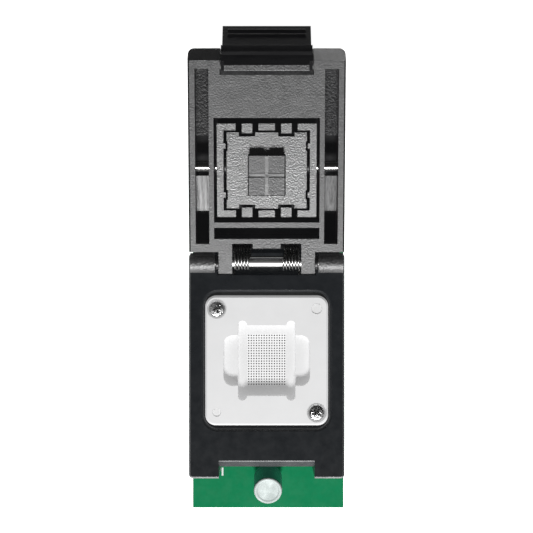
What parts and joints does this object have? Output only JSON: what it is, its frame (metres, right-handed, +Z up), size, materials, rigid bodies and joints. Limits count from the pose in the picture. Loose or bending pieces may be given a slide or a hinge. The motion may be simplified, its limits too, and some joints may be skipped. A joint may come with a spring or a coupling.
{
  "type": "programmer adapter socket",
  "caption": "Clamshell test socket on a plug-in adapter board: a latching lid presses a chip into a sprung nest over spring probes.",
  "frame": {"origin": "centre of the header's pin pattern, in the plane under its plastic strips", "axes": "+Z up out of the board, +Y from the board's front edge towards the open lid, +X to the right in the picture"},
  "size_m": [0.0306, 0.0951, 0.0332],
  "materials": {
    "board_green": "solder mask, semi-gloss",
    "header_plastic": "moulded, matte",
    "header_gold": "gold plated",
    "base_black": "moulded, satin",
    "block_white": "machined, matte",
    "probe_gold": "gold plated",
    "spring_steel": "drawn wire",
    "screw_steel": "dark steel",
    "nest_white": "moulded, matte",
    "can_aluminium": "rolled, bright",
    "sleeve_dark": "shrink sleeve",
    "bung_rubber": "moulded rubber",
    "lead_tin": "tinned",
    "pin_steel": "ground and bright",
    "lid_black": "spark-eroded texture",
    "latch_black": "moulded, satin",
    "pusher_black": "spark-eroded texture"
  },
  "bodies": {
    "base": {"circuit_board": "board_green", "header_strip_left": "header_plastic", "header_strip_right": "header_plastic", "header_pins_left": "header_gold", "header_pins_right": "header_gold", "base_housing": "base_black", "contact_block": "block_white", "contact_probes": "probe_gold", "nest_springs": "spring_steel", "shoulder_screws": "screw_steel", "capacitor_can": "can_aluminium", "capacitor_sleeve": "sleeve_dark", "capacitor_bung": "bung_rubber", "capacitor_leads": "lead_tin", "hinge_pin": "pin_steel", "hinge_spring": "spring_steel"},
    "nest": {"chip_nest": "nest_white"},
    "lid": {"lid_housing": "lid_black", "cross_pin": "pin_steel", "latch_pin": "pin_steel", "latch_springs": "spring_steel"},
    "latch": {"latch": "latch_black"},
    "ring": {"pusher_ring": "pusher_black", "plate_springs": "spring_steel"},
    "plate": {"pressure_plate": "pusher_black"}
  },
  "joints": [
    {"name": "lid_hinge", "type": "hinge", "parent": "base", "child": "lid", "pos_m": [-0.0003, 0.0112, 0.0172], "axis": [1, 0, 0], "range_deg": [0, 172], "stiffness_Nm_per_rad": 0.01, "springref_deg": -17.19, "deforming": ["hinge_spring"]},
    {"name": "latch_pivot", "type": "hinge", "parent": "lid", "child": "latch", "pos_m": [-0.0003, 0.05036, 0.01877], "axis": [-1, 0, 0], "range_deg": [0, 22], "stiffness_Nm_per_rad": 0.01, "springref_deg": -11.46, "deforming": ["latch_springs"]},
    {"name": "nest_float", "type": "slide", "parent": "base", "child": "nest", "axis": [0, 0, -1], "range_m": [0, 0.0005], "stiffness_N_per_m": 600, "springref_m": -0.001, "deforming": ["nest_springs"]},
    {"name": "ring_rock", "type": "hinge", "parent": "lid", "child": "ring", "pos_m": [-0.0003, 0.0297, 0.01778], "axis": [1, 0, 0], "range_deg": [-2, 2]},
    {"name": "plate_press", "type": "slide", "parent": "ring", "child": "plate", "axis": [0, 0.1392, -0.9903], "range_m": [0, 0.0004], "stiffness_N_per_m": 600, "springref_m": -0.001, "deforming": ["plate_springs"]}
  ]
}
